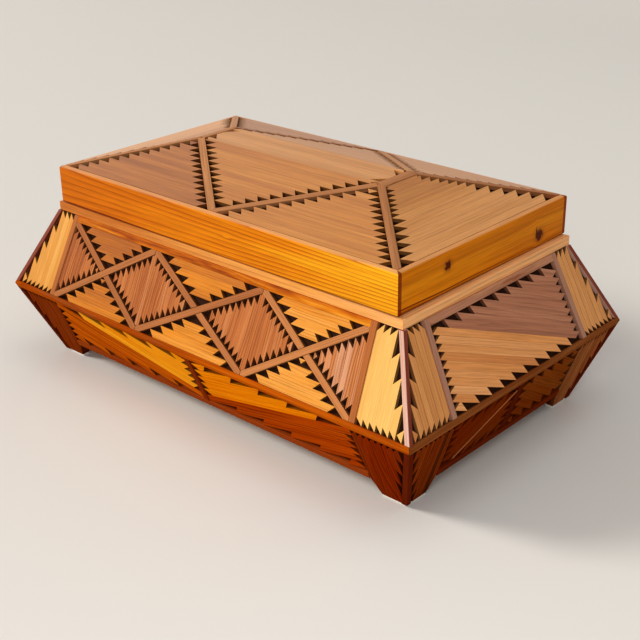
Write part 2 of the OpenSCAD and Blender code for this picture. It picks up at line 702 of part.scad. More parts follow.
// The end slopes are laid in wide slats below and narrow ones above
module roof_slats(k) {
    gap = roof_strip_w / 2 + fit;
    foot = above(roof_foot + fit);
    over = left_of(diagonal_foot, diagonal_head, gap);
    under = left_of(diagonal_head, diagonal_foot, gap);
    color("#c2804a") if (k % 2 == 0)
        roof_trim() roof_face(k) {
            slats([foot, below(roof_len), over, flip(over)], [1, 0], roof_slat_w, roof_foot + fit);
            both_halves()
                slats([foot, under, in_hip(la, fit)], [1, 0], roof_slat_w, roof_foot + fit);
        }
    else roof_face(k) {
        field = [foot, below(roof_len - crown_strip_w - fit), in_hip(lb, fit), flip(in_hip(lb, fit))];
        t0 = roof_foot + fit;
        slats(field, [1, 0], end_slope_wide_w, t0, 0, end_slope_wide_n - 1);
        slats(field, [1, 0], end_slope_narrow_w, t0 + end_slope_wide_n * end_slope_wide_w, 0);
    }
}
module roof_slats_crown() {
    end = ca - crown_strip_w - fit;
    field = [from_x(-end), to_x(end), above(-cb), below(cb)];
    color("#c2804a") translate([0, 0, crown_z]) {
        slats(plain(field), [1, 0], crown_middle_w, -crown_middle_w / 2, 0, 0);
        for (m = [0, 1]) mirror([0, m, 0])
            slats(field, [1, 0], crown_slat_w, crown_middle_w / 2, 0, many, -1);
    }
}

// Hinges, drawn round the axis of the pin; the lid's half is the mirror image of the box's

module at_hinges() {
    for (s = [-1, 1]) rotate([0, 0, 180]) translate([s * hinge_x, 0, hinge_z]) children();
}
module over_hinge() {
    translate([0, 0, hinge_z]) mirror([0, 0, 1]) translate([0, 0, -hinge_z]) children();
}
module along_pin(length, r) {
    translate([-length / 2, hinge_y, 0]) rotate([0, 90, 0]) cylinder(h = length, r = r);
}
module leaf_seats() {
    at_hinges() translate([-hinge_l / 2, -mb - cut_over, -lid_gap / 2 - leaf_t])
        cube([hinge_l, leaf_w + cut_over, leaf_t + lid_gap]);
}
module screw_places() {
    at_hinges() for (i = [-1 : 1])
        translate([i * (hinge_l / 2 - screw_in), leaf_w / 2 - mb, -lid_gap / 2]) children();
}
module screw(length, play = 0) {
    head_h = screw_head_r - screw_r;
    translate([0, 0, -length - play]) cylinder(h = length + play, r = screw_r + play);
    translate([0, 0, -head_h]) cylinder(h = head_h, r1 = screw_r + play, r2 = screw_head_r + play);
}
module screw_hole(length) {
    translate([0, 0, -length - screw_tip]) cylinder(h = length, r = screw_r + screw_play);
}

// Plate let into the wood, with every second knuckle rolled from its edge
module hinge_leaf(first) {
    pitch = hinge_l / knuckles;
    difference() {
        at_hinges() union() {
            translate([-hinge_l / 2, -mb, -lid_gap / 2 - leaf_t]) cube([hinge_l, leaf_w, leaf_t]);
            for (i = [first : 2 : knuckles - 1]) translate([(i + 0.5) * pitch - hinge_l / 2, 0, 0]) {
                along_pin(pitch - knuckle_gap, knuckle_r);
                translate([(knuckle_gap - pitch) / 2, hinge_y, -lid_gap / 2 - leaf_t])
                    cube([pitch - knuckle_gap, -mb - hinge_y, leaf_t]);
            }
        }
        at_hinges() along_pin(hinge_l + 2 * cut_over, pin_r + pin_play);
        screw_places() screw(leaf_t + cut_over, screw_play);
    }
}
module hinge_leaves_box() {
    color("#c9a227") hinge_leaf(0);
}
module hinge_leaves_lid() {
    color("#c9a227") over_hinge() hinge_leaf(1);
}
module hinge_pins() {
    color("#a9871d") at_hinges() {
        along_pin(hinge_l, pin_r);
        for (s = [-1, 1]) translate([s * (hinge_l + cap_t) / 2, 0, 0]) along_pin(cap_t, pin_r + cap_over);
    }
}
module hinge_screws_box() {
    color("#d8b546") screw_places() screw(rim_screw_l);
}
module hinge_screws_lid() {
    color("#d8b546") over_hinge() screw_places() screw(lid_screw_l);
}

foot_pads();
bottom_board();
lower_wall(0);  // lower_wall_front
lower_wall(1);  // lower_wall_right
lower_wall(2);  // lower_wall_back
lower_wall(3);  // lower_wall_left
upper_wall(0);  // upper_wall_front
upper_wall(1);  // upper_wall_right
upper_wall(2);  // upper_wall_back
upper_wall(3);  // upper_wall_left
rim_board(0);  // rim_front
rim_board(1);  // rim_right
rim_board(2);  // rim_back
rim_board(3);  // rim_left
belt_strips();
upper_corner_strips();
lower_corner_strips();
top_strips();
post_strips();
lattice_strips(0);  // lattice_strips_front
lattice_strips(2);  // lattice_strips_back
middle_strips();
bottom_rails();
diamond_slats(0);  // diamond_slats_front
diamond_slats(2);  // diamond_slats_back
triangle_slats(0);  // triangle_slats_front
triangle_slats(2);  // triangle_slats_back
corner_slats_long();
corner_slats_end();
end_field_upper_slats();
end_field_lower_slats();
leg_slats();
lower_long_bright_slats();
lower_long_dark_slats();
lower_end_bright_slats();
lower_end_dark_slats();
hinge_leaves_box();
hinge_pins();
hinge_screws_box();
lid_rim(0);  // lid_rim_front
lid_rim(1);  // lid_rim_right
lid_rim(2);  // lid_rim_back
lid_rim(3);  // lid_rim_left
roof_board(0);  // roof_board_front
roof_board(1);  // roof_board_right
roof_board(2);  // roof_board_back
roof_board(3);  // roof_board_left
roof_board_crown();
roof_slats(0);  // roof_slats_front
roof_slats(1);  // roof_slats_right
roof_slats(2);  // roof_slats_back
roof_slats(3);  // roof_slats_left
roof_slats_crown();
hip_strips();
crown_strips();
roof_diagonal_strips();
hinge_leaves_lid();
hinge_screws_lid();
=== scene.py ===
"""Looks of a slatted cedar table box with flared walls, corner feet and a hinged, hipped lid.

The script follows the box as it is put together: the room it is looked at in, the backing boards,
the rim frame, the strips, the slats field by field, the diagonal lines, the boards and slats of the
lid, and last the felt under the feet and the hinges. Lengths are in metres, +X runs along the box,
+Y to its hinged back and +Z up.
"""

import math

import bmesh
import bpy
import numpy as np
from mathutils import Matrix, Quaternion, Vector


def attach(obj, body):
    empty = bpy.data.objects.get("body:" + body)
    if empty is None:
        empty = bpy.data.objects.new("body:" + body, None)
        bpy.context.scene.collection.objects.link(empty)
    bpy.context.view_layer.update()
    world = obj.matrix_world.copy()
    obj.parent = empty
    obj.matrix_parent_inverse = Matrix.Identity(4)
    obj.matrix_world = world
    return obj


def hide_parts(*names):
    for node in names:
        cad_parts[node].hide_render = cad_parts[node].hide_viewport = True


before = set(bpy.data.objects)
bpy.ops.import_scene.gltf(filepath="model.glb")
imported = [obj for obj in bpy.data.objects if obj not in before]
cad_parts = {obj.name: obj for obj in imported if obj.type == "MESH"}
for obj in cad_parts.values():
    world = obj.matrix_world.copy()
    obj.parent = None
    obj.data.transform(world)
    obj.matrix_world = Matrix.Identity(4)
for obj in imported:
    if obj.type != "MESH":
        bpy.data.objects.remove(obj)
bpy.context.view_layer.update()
MM = 0.001

# Room
# A plain pale floor and sweep of backdrop. One far lamp from the left lights the notches from the
# side, a small one near the camera lifts the right end, and a large one hangs over the lid.
CAMERA_AT = Vector((0.53485, -0.56769, 0.40209))
CAMERA_AIM = Vector((0.05679, -0.04614, 0.075))
CAMERA_ROLL = math.radians(-0.86)
CAMERA_LENS_MM = 68.2
LAMPS = [  # name, place, size, power in watts, colour
    ("key", (-5.0, -3.4, 3.4), 1.9, 370.0, "#FFFAF2"),
    ("fill", (0.5, -0.7, 0.45), 0.3, 1.7, "#FFFFFF"),
    ("top", (0.35, 0.2, 1.6), 1.3, 4.6, "#FFFFFF"),
]
LAMPS_AIM = Vector((0, 0, 0.08))
WORLD_LIGHT = 0.32  # share of the white behind the box that the world gives the box as light
FLOOR_COLOUR = "#E6E2DC"
BACKDROP_EDGE, BACKDROP_RISE = 1.2, 0.35  # where the floor turns up, and how fast it then rises


def linear(colour):
    """An sRGB hex colour as linear RGBA."""
    parts = [int(colour[i:i + 2], 16) / 255 for i in (1, 3, 5)]
    return [c / 12.92 if c <= 0.04045 else ((c + 0.055) / 1.055) ** 2.4 for c in parts] + [1.0]


def add(tree, kind, inputs=(), stops=(), **settings):
    """Adds a shader node with its settings. Its inputs are given in order, or by name or index, and
    are values, sockets, or nodes, which stand for their first output in use. Stops fill a colour
    ramp."""
    node = tree.nodes.new("ShaderNode" + kind)
    for name, value in settings.items():
        setattr(node, name, value)
    for key, value in inputs.items() if isinstance(inputs, dict) else enumerate(inputs):
        if isinstance(value, bpy.types.Node):
            value = next(output for output in value.outputs if output.enabled)
        if isinstance(value, bpy.types.NodeSocket):
            tree.links.new(value, node.inputs[key])
        else:
            node.inputs[key].default_value = value
    for i, (place, colour) in enumerate(stops):
        ramp = node.color_ramp.elements
        stop = ramp[i] if i < 2 else ramp.new(place)
        stop.position = place
        stop.color = linear(colour)
    return node


def new_material(name):
    """A new material and its empty node tree."""
    material = bpy.data.materials.new(name)
    material.use_nodes = True
    material.node_tree.nodes.clear()
    return material, material.node_tree


def put_in_scene(name, data):
    """A new object of that name and data, in the scene."""
    thing = bpy.data.objects.new(name, data)
    bpy.context.scene.collection.objects.link(thing)
    return thing


def show_pale_to_camera():
    """World that lights evenly and shows white behind the box and in reflections of varnish."""
    world = bpy.data.worlds.new("studio")
    bpy.context.scene.world = world
    world.use_nodes = True
    tree = world.node_tree
    tree.nodes.clear()
    rays = add(tree, "LightPath").outputs
    seen = rays["Is Camera Ray"]
    for ray in ("Is Transmission Ray", "Is Glossy Ray"):
        seen = add(tree, "Math", (seen, rays[ray]), operation="MAXIMUM")
    strength = add(tree, "MapRange", {"Value": seen, "To Min": WORLD_LIGHT, "To Max": 1.0})
    light = add(tree, "Background", {"Color": linear("#FFFFFF"), "Strength": strength})
    add(tree, "OutputWorld", {"Surface": light})


def make_floor():
    """A square floor that rises behind the box into a backdrop: height = rise * (y past edge)^2."""
    columns, rows = 9, 65
    across, along = np.meshgrid(np.linspace(-4, 4, columns), np.linspace(-3, 5, rows))
    height = BACKDROP_RISE * np.clip(along - BACKDROP_EDGE, 0, None) ** 2
    points = np.stack([across, along, height], axis=-1).reshape(-1, 3)
    i = (np.arange(rows - 1)[:, None] * columns + np.arange(columns - 1)).reshape(-1)
    quads = np.stack([i, i + 1, i + columns + 1, i + columns], axis=1)
    mesh = bpy.data.meshes.new("floor")
    mesh.from_pydata(points.tolist(), [], quads.tolist())
    mesh.shade_smooth()
    material, tree = new_material("matt_pale_floor")
    matt = add(tree, "BsdfPrincipled", {"Base Color": linear(FLOOR_COLOUR), "Roughness": 0.9})
    add(tree, "OutputMaterial", {"Surface": matt})
    mesh.materials.append(material)
    floor = put_in_scene("floor", mesh)


def make_camera():
    """The camera of the photograph: its place, aim, small roll and focal length."""
    data = bpy.data.cameras.new("camera")
    data.lens = CAMERA_LENS_MM
    data.sensor_width = data.sensor_height = 36
    data.clip_start = 0.01
    camera = put_in_scene("camera", data)
    camera.location = CAMERA_AT
    camera.rotation_mode = "QUATERNION"
    aim = (CAMERA_AIM - CAMERA_AT).to_track_quat("-Z", "Y")
    camera.rotation_quaternion = aim @ Quaternion((0, 0, 1), CAMERA_ROLL)
    bpy.context.scene.camera = camera


def make_lamps():
    """Square area lamps that face the middle of the box."""
    for name, place, size, power, colour in LAMPS:
        data = bpy.data.lights.new(name, "AREA")
        data.size = size
        data.energy = power
        data.color = linear(colour)[:3]
        lamp = put_in_scene(name, data)
        lamp.location = place
        lamp.rotation_mode = "QUATERNION"
        lamp.rotation_quaternion = (LAMPS_AIM - lamp.location).to_track_quat("-Z", "Y")


bpy.context.scene.view_settings.view_transform = "Standard"
show_pale_to_camera()
make_floor()
make_camera()
make_lamps()

# Backing boards
# Four lower and four upper wall boards and the five boards of the roof, of plain sawn cedar, mitred
# and glued. They are stained where the open notches show them, the upper and roof boards darker
# than their stain as painted shade in the notches, and planed and plain inside the box.
EASE = 0.08 * MM  # sanding takes this much off every arris
WELD = 0.002 * MM  # corners of the solids' triangles that are nearer than this are one
LEVEL = math.radians(0.5)  # triangles as level with each other as this make one flat face
ARRIS = math.radians(25)  # edges sharper than this are arrises
CREASE = math.radians(50)  # edges sharper than this look sharp after all
HOLLOW = (0, 0, 50 * MM)  # a point in the hollow of the box, which boards look away from
UPWARDS = (0.01, 0.02, 1.0)  # up, and for what lies level to the back or the right


def read(items, field, width=1, kind=float):
    """One property of all the vertices, edges, faces or loops, in rows of so many numbers."""
    values = np.empty(len(items) * width, dtype=kind)
    items.foreach_get(field, values)
    return values.reshape(-1, width) if width > 1 else values


def store(mesh, name, values, domain="POINT"):
    """Gives each vertex or face of a mesh a number or vector that its material can read."""
    kind, field = ("FLOAT", "value") if values.ndim == 1 else ("FLOAT_VECTOR", "vector")
    mesh.attributes.new(name, kind, domain).data.foreach_set(field, values.ravel())


def pieces_of(mesh):
    """Number of the separate solid that each vertex is in: the least vertex that edges lead to."""
    a, b = read(mesh.edges, "vertices", 2, np.int32).T
    label = np.arange(len(mesh.vertices))
    while True:
        lowest = label.copy()
        np.minimum.at(lowest, a, label[b])
        np.minimum.at(lowest, b, label[a])
        lowest = lowest[lowest]
        if (lowest == label).all():
            return np.unique(label, return_inverse=True)[1]
        label = lowest


def grain_frames(mesh, label):
    """Unit vectors along, across and out of each solid, the middle of its box, and how squarely
    each face looks out. Along is the longest edge of the solid. Out is the one of its normals that
    covers most of the whole mesh, less its share along, so that small tips find it as well; it
    points away from the hollow of the box. Across is square to both and never points down."""
    co = read(mesh.vertices, "co", 3)
    edges = read(mesh.edges, "vertices", 2, np.int32)
    span = co[edges[:, 1]] - co[edges[:, 0]]
    count = label.max() + 1
    by_length = np.argsort(np.linalg.norm(span, axis=1))
    along = np.zeros((count, 3))
    along[label[edges[by_length, 0]]] = span[by_length]
    along /= np.linalg.norm(along, axis=1, keepdims=True)
    area, normal = read(mesh.polygons, "area"), read(mesh.polygons, "normal", 3)
    first = read(mesh.polygons, "loop_start", kind=np.int32)
    owner = label[read(mesh.loops, "vertex_index", kind=np.int32)[first]]
    # Faces are of one kind if their normals fall into the same steps of a twentieth
    kind = np.unique(np.floor(normal * 20 + 0.37), axis=0, return_inverse=True)[1].ravel()
    by_cover = np.argsort(np.bincount(kind, weights=area)[kind], kind="stable")
    out = np.zeros((count, 3))
    out[owner[by_cover]] = normal[by_cover]
    out -= along * (out * along).sum(axis=1, keepdims=True)
    out /= np.linalg.norm(out, axis=1, keepdims=True)
    low, high = np.full((count, 3), np.inf), np.full((count, 3), -np.inf)
    np.minimum.at(low, label, co)
    np.maximum.at(high, label, co)
    middle = (low + high) / 2
    out[(out * (middle - HOLLOW)).sum(axis=1) < 0] *= -1
    across = np.cross(out, along)
    down = across @ UPWARDS < 0
    along[down], across[down] = -along[down], -across[down]
    facing = (normal * out[owner]).sum(axis=1)
    return co, along, across, out, middle, facing


def timber(node, body, material, seed, ease=EASE, swell=0.0, tone=None, jitter=0.0,
           drift=0.0, shuffle=1.0, side_face_share=1.0):
    """The wood of a CAD node: its triangles merged to flat faces, each solid widened by swell on
    both sides into its glue lines, its arrises eased, and on every solid its own grain
    coordinates, moved by up to shuffle metres so that no two match. Tone picks the shade of each
    solid from its middle, to within half of jitter; without it the shades are dealt at random.
    Drift is how much the shade changes in a metre along the board, which paints light and shade
    along the long rim and lid boards. Side face share is how much of the colour of sides, mostly a
    painted shade in the notches, faces get which do not look out."""
    form = bmesh.new()
    form.from_mesh(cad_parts[node].data)
    bmesh.ops.remove_doubles(form, verts=form.verts, dist=WELD)
    bmesh.ops.dissolve_limit(form, angle_limit=LEVEL, verts=form.verts, edges=form.edges)
    merged = bpy.data.meshes.new(node + "_merged")
    form.to_mesh(merged)
    label = pieces_of(merged)
    if swell:
        co, _, across, _, middle, _ = grain_frames(merged, label)
        side = np.sign(((co - middle[label]) * across[label]).sum(axis=1, keepdims=True))
        for vertex, place in zip(form.verts, co + side * swell * across[label]):
            vertex.co = place
    bpy.data.meshes.remove(merged)
    arrises = [[] for _ in range(label.max() + 1)]
    for edge in form.edges:
        if edge.calc_face_angle(0) > ARRIS:
            arrises[label[edge.verts[0].index]].append(edge)
    for edges in arrises:
        bmesh.ops.bevel(form, geom=edges, offset=ease, segments=2, profile=0.5, affect="EDGES",
                        clamp_overlap=True)
    mesh = bpy.data.meshes.new(node + "_wood")
    form.to_mesh(mesh)
    form.free()
    mesh.shade_smooth()
    mesh.set_sharp_from_angle(angle=CREASE)
    label = pieces_of(mesh)
    co, along, across, out, middle, facing = grain_frames(mesh, label)
    random = np.random.default_rng([seed, len(mesh.vertices)])
    count = label.max() + 1
    offset = random.uniform(-1, 1, (count, 3)) * shuffle
    local = co - middle[label]
    grain = np.stack([(local * axis[label]).sum(axis=1) for axis in (along, across, out)], axis=1)
    dealt = random.permutation((np.arange(count) + 0.5) / count)
    if tone is not None:
        dealt = np.clip(tone(middle) + jitter * (dealt - 0.5), 0, 1)
    normal = np.abs(read(mesh.vertices, "normal", 3))
    store(mesh, "grain", grain + offset[label])
    store(mesh, "tone", dealt[label] + drift * (local * along[label]).sum(axis=1))
    store(mesh, "turned", (normal[:, 0] > normal[:, 1]).astype(float))
    # A face takes the colour of sides, mostly a painted shade, from where it turns 26 degrees from
    # out or in, and fully from 73
    store(mesh, "side_face_share", side_face_share * np.clip((0.9 - np.abs(facing)) / 0.6, 0, 1), "FACE")
    store(mesh, "inner", np.clip(-facing, 0, 1), "FACE")
    mesh.materials.append(material)
    piece = put_in_scene(node + "_wood", mesh)
    shading = piece.modifiers.new("flat faces stay flat", "WEIGHTED_NORMAL")
    shading.keep_sharp = True
    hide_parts(node)
    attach(piece, body)


HEARTWOOD_AND_GAP_SHADOW = "#7E2002"  # deep red of heartwood, and of the painted shadow of the gap under the lid boards
KNOT_HALO, KNOT_CORE = "#964404", "#4A0C02"
VARNISH_SHINE = "#FFB070"
LATEWOOD = 2.6  # the higher, the narrower the dark part of each ring
RING_LEAN = 0.6  # how much the rings shift from the face of a board into its depth


def cedar(name, shades, line, ring=1.7 * MM, lines=0.45, wander=0.3, figure=(8, 110), warp=2.2 * MM,
          patchy=1.4, rough=0.42, gloss=0.06, fan=0.0, turn=0.0, inside=None, sides=None, knots=(),
          marks=(), mitre=None):
    """Varnished western red cedar. The shades run from pale to deep with the tone of the solid, a
    wander of so many waves a metre (figure) along and across, and a turn on faces that look along
    X, which paints shade on them. Growth rings lie ring apart, fan out along the board, end in
    latewood of the colour line, fade in patches and flow round the knots as water does round a
    stone. Faces that look into the box take the two shades of inside, and faces that do not look
    out the colour and share of sides, mostly a painted shade in the notches. Marks are single bold
    rings of dark red over all that, heartwood up the board and, at the lower edge of a lid board,
    painted shadow of the gap over the rim: height and half width in mm, share, and how much of the
    share is lost in a metre. Knots have a place along and up and a radius in mm, a length over
    height and a darkness. From the distance mitre on, the ends of the board are dark. Fine fibres
    run through all of it."""
    material, tree = new_material(name)
    grain = add(tree, "Attribute", attribute_name="grain").outputs["Vector"]
    tone = add(tree, "Attribute", attribute_name="tone").outputs["Fac"]
    along, across, into = add(tree, "SeparateXYZ", (grain,)).outputs

    def noise(waves, detail, roughness=0.5):
        """Noise of so many waves a metre along, across and into the board."""
        stretched = add(tree, "Mapping", {"Vector": grain, "Scale": waves})
        return add(tree, "TexNoise", {"Vector": stretched, "Scale": 1.0, "Detail": detail,
                                      "Roughness": roughness})

    # Height on the board as the rings have it: bent by slow waves and pushed aside by the knots
    bend = add(tree, "Math", (noise((7, 40, 40), 2), 0.5), operation="SUBTRACT")
    bend = add(tree, "Math", (bend, warp * 4), operation="MULTIPLY")
    height = add(tree, "Math", (bend, across), operation="ADD")
    knotted = 0.0
    for at, up, radius, length, dark in knots:
        dx = add(tree, "Math", (along, at * MM), operation="SUBTRACT")
        dx = add(tree, "Math", (dx, length), operation="DIVIDE")
        dy = add(tree, "Math", (across, up * MM), operation="SUBTRACT")
        away = add(tree, "Math", (dy, dy), operation="MULTIPLY")
        away = add(tree, "Math", (dx, dx, away), operation="MULTIPLY_ADD")
        near = add(tree, "Math", ((radius * MM) ** 2, away), operation="DIVIDE")
        push = add(tree, "Math", (near, 1.0), operation="MINIMUM")
        push = add(tree, "Math", (dy, push), operation="MULTIPLY")
        height = add(tree, "Math", (height, push), operation="SUBTRACT")
        near = add(tree, "Math", (near, dark), operation="MULTIPLY")
        knotted = add(tree, "Math", (knotted, near), operation="MAXIMUM")

    # Latewood: a saw tooth over each ring, sharpened, and faded in patches as far as patchy says
    depth = add(tree, "Math", (into, RING_LEAN, height), operation="MULTIPLY_ADD")
    if fan:
        spread = add(tree, "Math", (along, fan, 1.0), operation="MULTIPLY_ADD")
        depth = add(tree, "Math", (depth, spread), operation="MULTIPLY")
    late = add(tree, "Math", (depth, ring), operation="DIVIDE")
    late = add(tree, "Math", (late,), operation="FRACT")
    late = add(tree, "Math", (late, LATEWOOD), operation="POWER")
    patches = add(tree, "Math", (noise((12, 220, 220), 2), 2.4 + 3 * patchy, -0.4 - 1.5 * patchy),
                  operation="MULTIPLY_ADD", use_clamp=True)
    late = add(tree, "Math", (late, patches), operation="MULTIPLY")

    # Colour of the wood between the rings, outside and inside the box (a Mix's colours are 6 and 7)
    waves = noise((figure[0], figure[1], figure[1]), 3)
    shade = add(tree, "Math", (waves, 0.5), operation="SUBTRACT")
    shade = add(tree, "Math", (shade, wander * 2, tone), operation="MULTIPLY_ADD")
    if turn:
        turned = add(tree, "Attribute", attribute_name="turned").outputs["Fac"]
        shade = add(tree, "Math", (turned, turn, shade), operation="MULTIPLY_ADD")
    places = [(i / (len(shades) - 1), colour) for i, colour in enumerate(shades)]
    colour = add(tree, "ValToRGB", (shade,), stops=places)
    if inside:
        inner = add(tree, "Attribute", attribute_name="inner").outputs["Fac"]
        planed = add(tree, "ValToRGB", (shade,), stops=list(enumerate(inside)))
        colour = add(tree, "Mix", {0: inner, 6: colour, 7: planed}, data_type="RGBA")

    # What lies over it, each as a share and a colour: rings, sawn sides, marks, knots, mitre
    over = [(add(tree, "Math", (late, lines), operation="MULTIPLY", use_clamp=True), line)]
    if sides:
        side_face_share = add(tree, "Attribute", attribute_name="side_face_share").outputs["Fac"]
        over.append((add(tree, "Math", (side_face_share, sides[1]), operation="MULTIPLY"), sides[0]))
    for up, width, share, fading in marks:
        off = add(tree, "Math", (height, up * MM), operation="SUBTRACT")
        off = add(tree, "Math", (off,), operation="ABSOLUTE")
        off = add(tree, "Math", (off, width * MM), operation="DIVIDE")
        bold = add(tree, "Math", (1.0, off), operation="SUBTRACT", use_clamp=True)
        bold = add(tree, "Math", (bold, 1.5), operation="MULTIPLY", use_clamp=True)
        left = add(tree, "Math", (along, -fading, share), operation="MULTIPLY_ADD", use_clamp=True)
        over.append((add(tree, "Math", (bold, left), operation="MULTIPLY"), HEARTWOOD_AND_GAP_SHADOW))
    if knots:
        crumbs = add(tree, "Math", (noise((520, 300, 300), 3), 6.0, -2.0),
                     operation="MULTIPLY_ADD", use_clamp=True)
        ragged = add(tree, "Math", (knotted, crumbs), operation="MULTIPLY")
        halo = add(tree, "MapRange", {"Value": knotted, "From Min": 0.12, "To Max": 0.65})
        core = add(tree, "MapRange", {"Value": ragged, "From Min": 0.3, "To Max": 0.95})
        over += [(halo, KNOT_HALO), (core, KNOT_CORE)]
    if mitre:
        far = add(tree, "Math", (along,), operation="ABSOLUTE")
        far = add(tree, "Math", (far, mitre), operation="GREATER_THAN")
        over.append((add(tree, "Math", (far, 0.85), operation="MULTIPLY"), line))
    for share, paint in over:
        colour = add(tree, "Mix", {0: share, 6: colour, 7: linear(paint)}, data_type="RGBA")

    # Fibres: light and dark in the colour, and raised and duller where they are light
    fibre = noise((45, 1500, 1500), 3, 0.6)
    light = add(tree, "Math", (fibre, 0.75, 0.62), operation="MULTIPLY_ADD")
    colour = add(tree, "Mix", {0: 1.0, 6: colour, 7: light}, data_type="RGBA",
                 blend_type="MULTIPLY")
    relief = add(tree, "Math", (late, 0.35, fibre), operation="MULTIPLY_ADD")
    bump = add(tree, "Bump", {"Strength": 0.5, "Distance": 0.08 * MM, "Height": relief})
    dull = add(tree, "Math", (fibre, 0.2, rough - 0.1), operation="MULTIPLY_ADD")
    varnished = add(tree, "BsdfPrincipled", {
        "Base Color": colour, "Roughness": dull, "Normal": bump, "Specular IOR Level": gloss,
        "Specular Tint": linear(VARNISH_SHINE)})
    add(tree, "OutputMaterial", {"Surface": varnished})
    return material


# Sawn face stained dull, and a planed one with one thin coat of varnish inside the box
STAINED = {"ring": 3 * MM, "lines": 0.25, "rough": 0.75, "gloss": 0.0,
           "inside": ["#C08A58", "#9C6A3E"]}
# Brown stain on sawn wood, darkened past the stain as painted shade in the notches: dull, with its
# fibres raised by the saw
upper_stain_and_shade = cedar("brown_stain_and_painted_shade", ["#462A1E", "#28140E"], "#1E0E08", **STAINED)
# Red stain, of the tone of the slats round it, so that only the shaded side of a notch is dark
lower_stain = cedar("red_stained_cedar", ["#6E2808", "#4A1604"], "#2C0C03", **STAINED)
# Dark brown stain, darkened further as painted shade, which leaves the notches of the roof nearly
# black
roof_stain_and_shade = cedar("dark_stain_and_painted_shade", ["#361B10", "#1E0F08"], "#1A0B05", **STAINED)
# Planed board with one thin coat of varnish: pale, with wide rings
plain_board = cedar("planed_cedar_board", ["#C59464", "#A9764A"], "#8A5530", ring=3 * MM, rough=0.5)

SIDES = ("front", "right", "back", "left")
for i, side in enumerate(SIDES):
    timber("lower_wall_" + side, "box", lower_stain, seed=10 + i)
    timber("upper_wall_" + side, "box", upper_stain_and_shade, seed=20 + i)
    timber("roof_board_" + side, "lid", roof_stain_and_shade, seed=30 + i)
timber("roof_board_crown", "lid", roof_stain_and_shade, seed=40)
timber("bottom_board", "box", plain_board, seed=41)

# Rim frame
# Four flat boards mitred on top of the walls. They are the palest straight-grained wood of the box
# and show as a narrow light band all round under the lid.
LONG_SIDES = ("front", "back")
MITRE_FROM = 70 * MM  # the mitres of the walls run where |x| is this much more than |y|
RIM_LIGHT_FALLOFF = -2.4  # painted light: the long boards are paler towards the right end and darker to the left


def on_end(at):
    """Which of the solids with these middles lie on an end wall."""
    return np.abs(at[:, 0]) - np.abs(at[:, 1]) > MITRE_FROM


def by_wall(end, long):
    """One tone for the solids on the end walls and one for those on the long walls."""
    return lambda at: np.where(on_end(at), end, long)


# Satin varnish over pale wood with fine brown rings; on the long boards painted light makes it
# deeper to the left and paler to the right
rim_wood = cedar("pale_cedar_rim", ["#FFBA78", "#F2A450", "#C8702A"], "#A65A20", ring=2 * MM,
                 lines=0.6, wander=0.45, warp=0.6 * MM)
for i, side in enumerate(SIDES):
    timber("rim_" + side, "box", rim_wood, seed=50 + i, ease=0.35 * MM,
           tone=by_wall(0.0, 0.6), drift=RIM_LIGHT_FALLOFF if side in LONG_SIDES else 0.0)

# Strips
# Flat strips about 5 mm wide and a little proud of the slats: belt, corners, posts, lattice, rails
# and the strips of the roof. Their arrises are rubbed round by hands and cloths.
STRIP_EASE = 0.3 * MM
SIDE_SHADE = ("#34180B", 0.72)  # colour and share of painted shade on the side faces of slats and strips, dark in the notches
LAST_CROSSING = 50 * MM  # the crossing at the right end of a long wall lies past this


def graded(base, x=0.0, y=0.0):
    """A tone that changes by x and y a metre from base at the middle of the box, or an even one."""
    return lambda at: base + x * at[:, 0] + y * at[:, 1]


def dark_at_left(at):
    """Pale for the corners of the right end and dark for those of the left end."""
    return np.where(at[:, 0] < 0, 0.75, 0.12)


def last_crossing_pale(at):
    """Paler for the crossing at the right end of a long wall than for the other two."""
    return np.where(at[:, 0] > LAST_CROSSING, 0.0, 0.65)


# Pinkish brown wood with fine straight rings, as in the lattice
lattice_wood = cedar("pinkish_cedar_strip", ["#C67F4A", "#A45E34"], "#74401E", ring=1.4 * MM,
                     lines=0.6, wander=0.5, sides=SIDE_SHADE)
# The posts are red on the long walls and mauve on the ends
post_wood = cedar("cedar_post_strip", ["#BE7440", "#A6592A", "#C08C72", "#A8745C"], "#7A3C22",
                  ring=1.4 * MM, lines=0.5, wander=0.1)
# Heartwood and sapwood from one edge of the log: orange with dark red flames, or mauve on the ends
flamed = cedar("flamed_cedar_strip", ["#EA962A", "#DA7C16", "#C05E08", "#8A380A", "#C68A66",
                                      "#BC8060"], "#7A3410", ring=2.4 * MM, lines=0.6,
               wander=0.8, figure=(26, 240), warp=4 * MM)
# Orange red wood on the long walls and browner wood on the ends
belt_wood = cedar("orange_red_belt_strip", ["#DC7E22", "#C25A08", "#A44206", "#96562A", "#7A3E18"],
                  "#7E300C", ring=1.6 * MM, lines=0.6, wander=0.55, figure=(10, 260), gloss=0.0)
# Pale pinkish wood towards the front, partly a painted highlight, and on the faces that look along
# X redder wood darkened by painted shade
corner_wood = cedar("corner_strip_painted_highlight_and_shade", ["#E2B6A2", "#CE9680", "#8A3E2C", "#6A281A"],
                    "#A05844", ring=1.3 * MM, lines=0.8, wander=0.2, gloss=0.1, turn=0.68)
# Dark red heartwood with close rings
dark_wood = cedar("dark_red_cedar_strip", ["#B2521A", "#8A340E", "#5E1C08"], "#481606",
                  ring=1.5 * MM, lines=0.6, wander=0.25, gloss=0.0)
